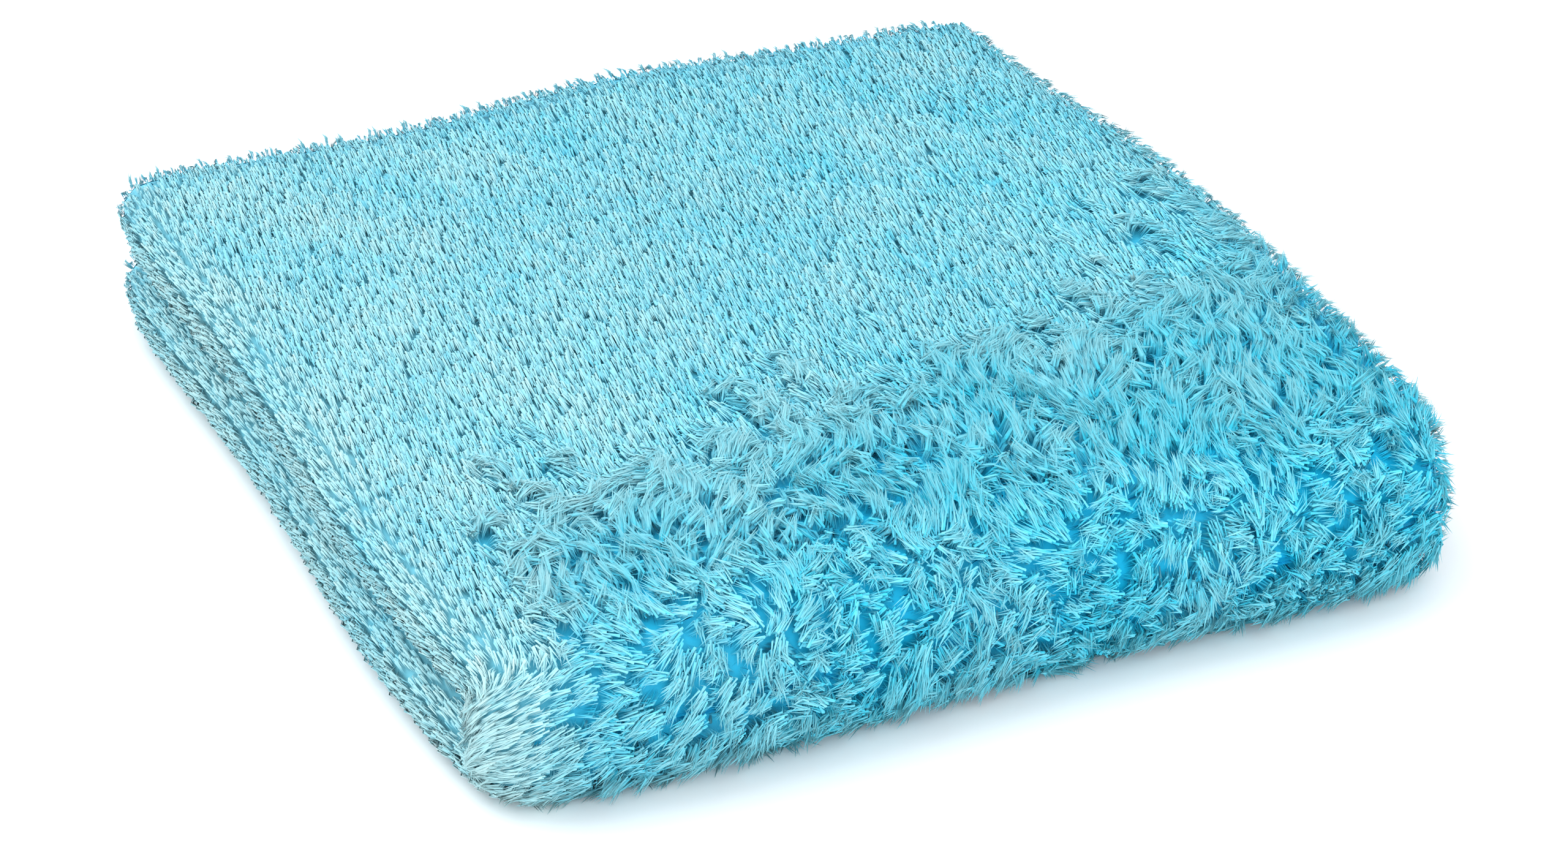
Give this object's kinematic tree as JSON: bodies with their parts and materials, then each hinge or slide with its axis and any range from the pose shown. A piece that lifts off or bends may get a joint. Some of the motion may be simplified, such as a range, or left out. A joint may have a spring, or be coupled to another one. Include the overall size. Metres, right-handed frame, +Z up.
{
  "type": "plush polishing cloth",
  "caption": "Deep-pile double-sided plush polishing and buffing cloth, folded in half twice into a soft square stack that opens at its front fold.",
  "frame": {"origin": "centre of the bottom face that the folded cloth rests on", "axes": "+X along the front fold towards the hemmed right edge, +Y from the front fold to the hemmed back edge, +Z up"},
  "size_m": [0.206, 0.219, 0.035],
  "materials": {
    "face_pile": "long soft microfibre pile, pale tips over deeper roots",
    "back_pile": "soft microfibre pile",
    "ground_knit": "fine warp knit, matt",
    "hem_thread": "overlocked thread, slight sheen"
  },
  "bodies": {
    "lower_half": {"lower_ground_knit": "ground_knit", "lower_bottom_pile": "face_pile", "lower_rolled_fold_pile": "face_pile", "lower_front_fold_pile": "face_pile", "lower_inner_pile": "back_pile", "lower_meeting_pile": "face_pile", "bottom_ply_hem": "hem_thread", "second_ply_hem": "hem_thread"},
    "upper_half": {"upper_ground_knit": "ground_knit", "upper_top_pile": "face_pile", "upper_rolled_fold_pile": "face_pile", "upper_front_fold_pile": "face_pile", "upper_inner_pile": "back_pile", "upper_meeting_pile": "face_pile", "third_ply_hem": "hem_thread", "top_ply_hem": "hem_thread"}
  },
  "joints": [
    {"name": "front_fold", "type": "hinge", "parent": "lower_half", "child": "upper_half", "pos_m": [0, -0.1095, 0.0175], "axis": [1, 0, 0], "range_deg": [0, 180]}
  ]
}
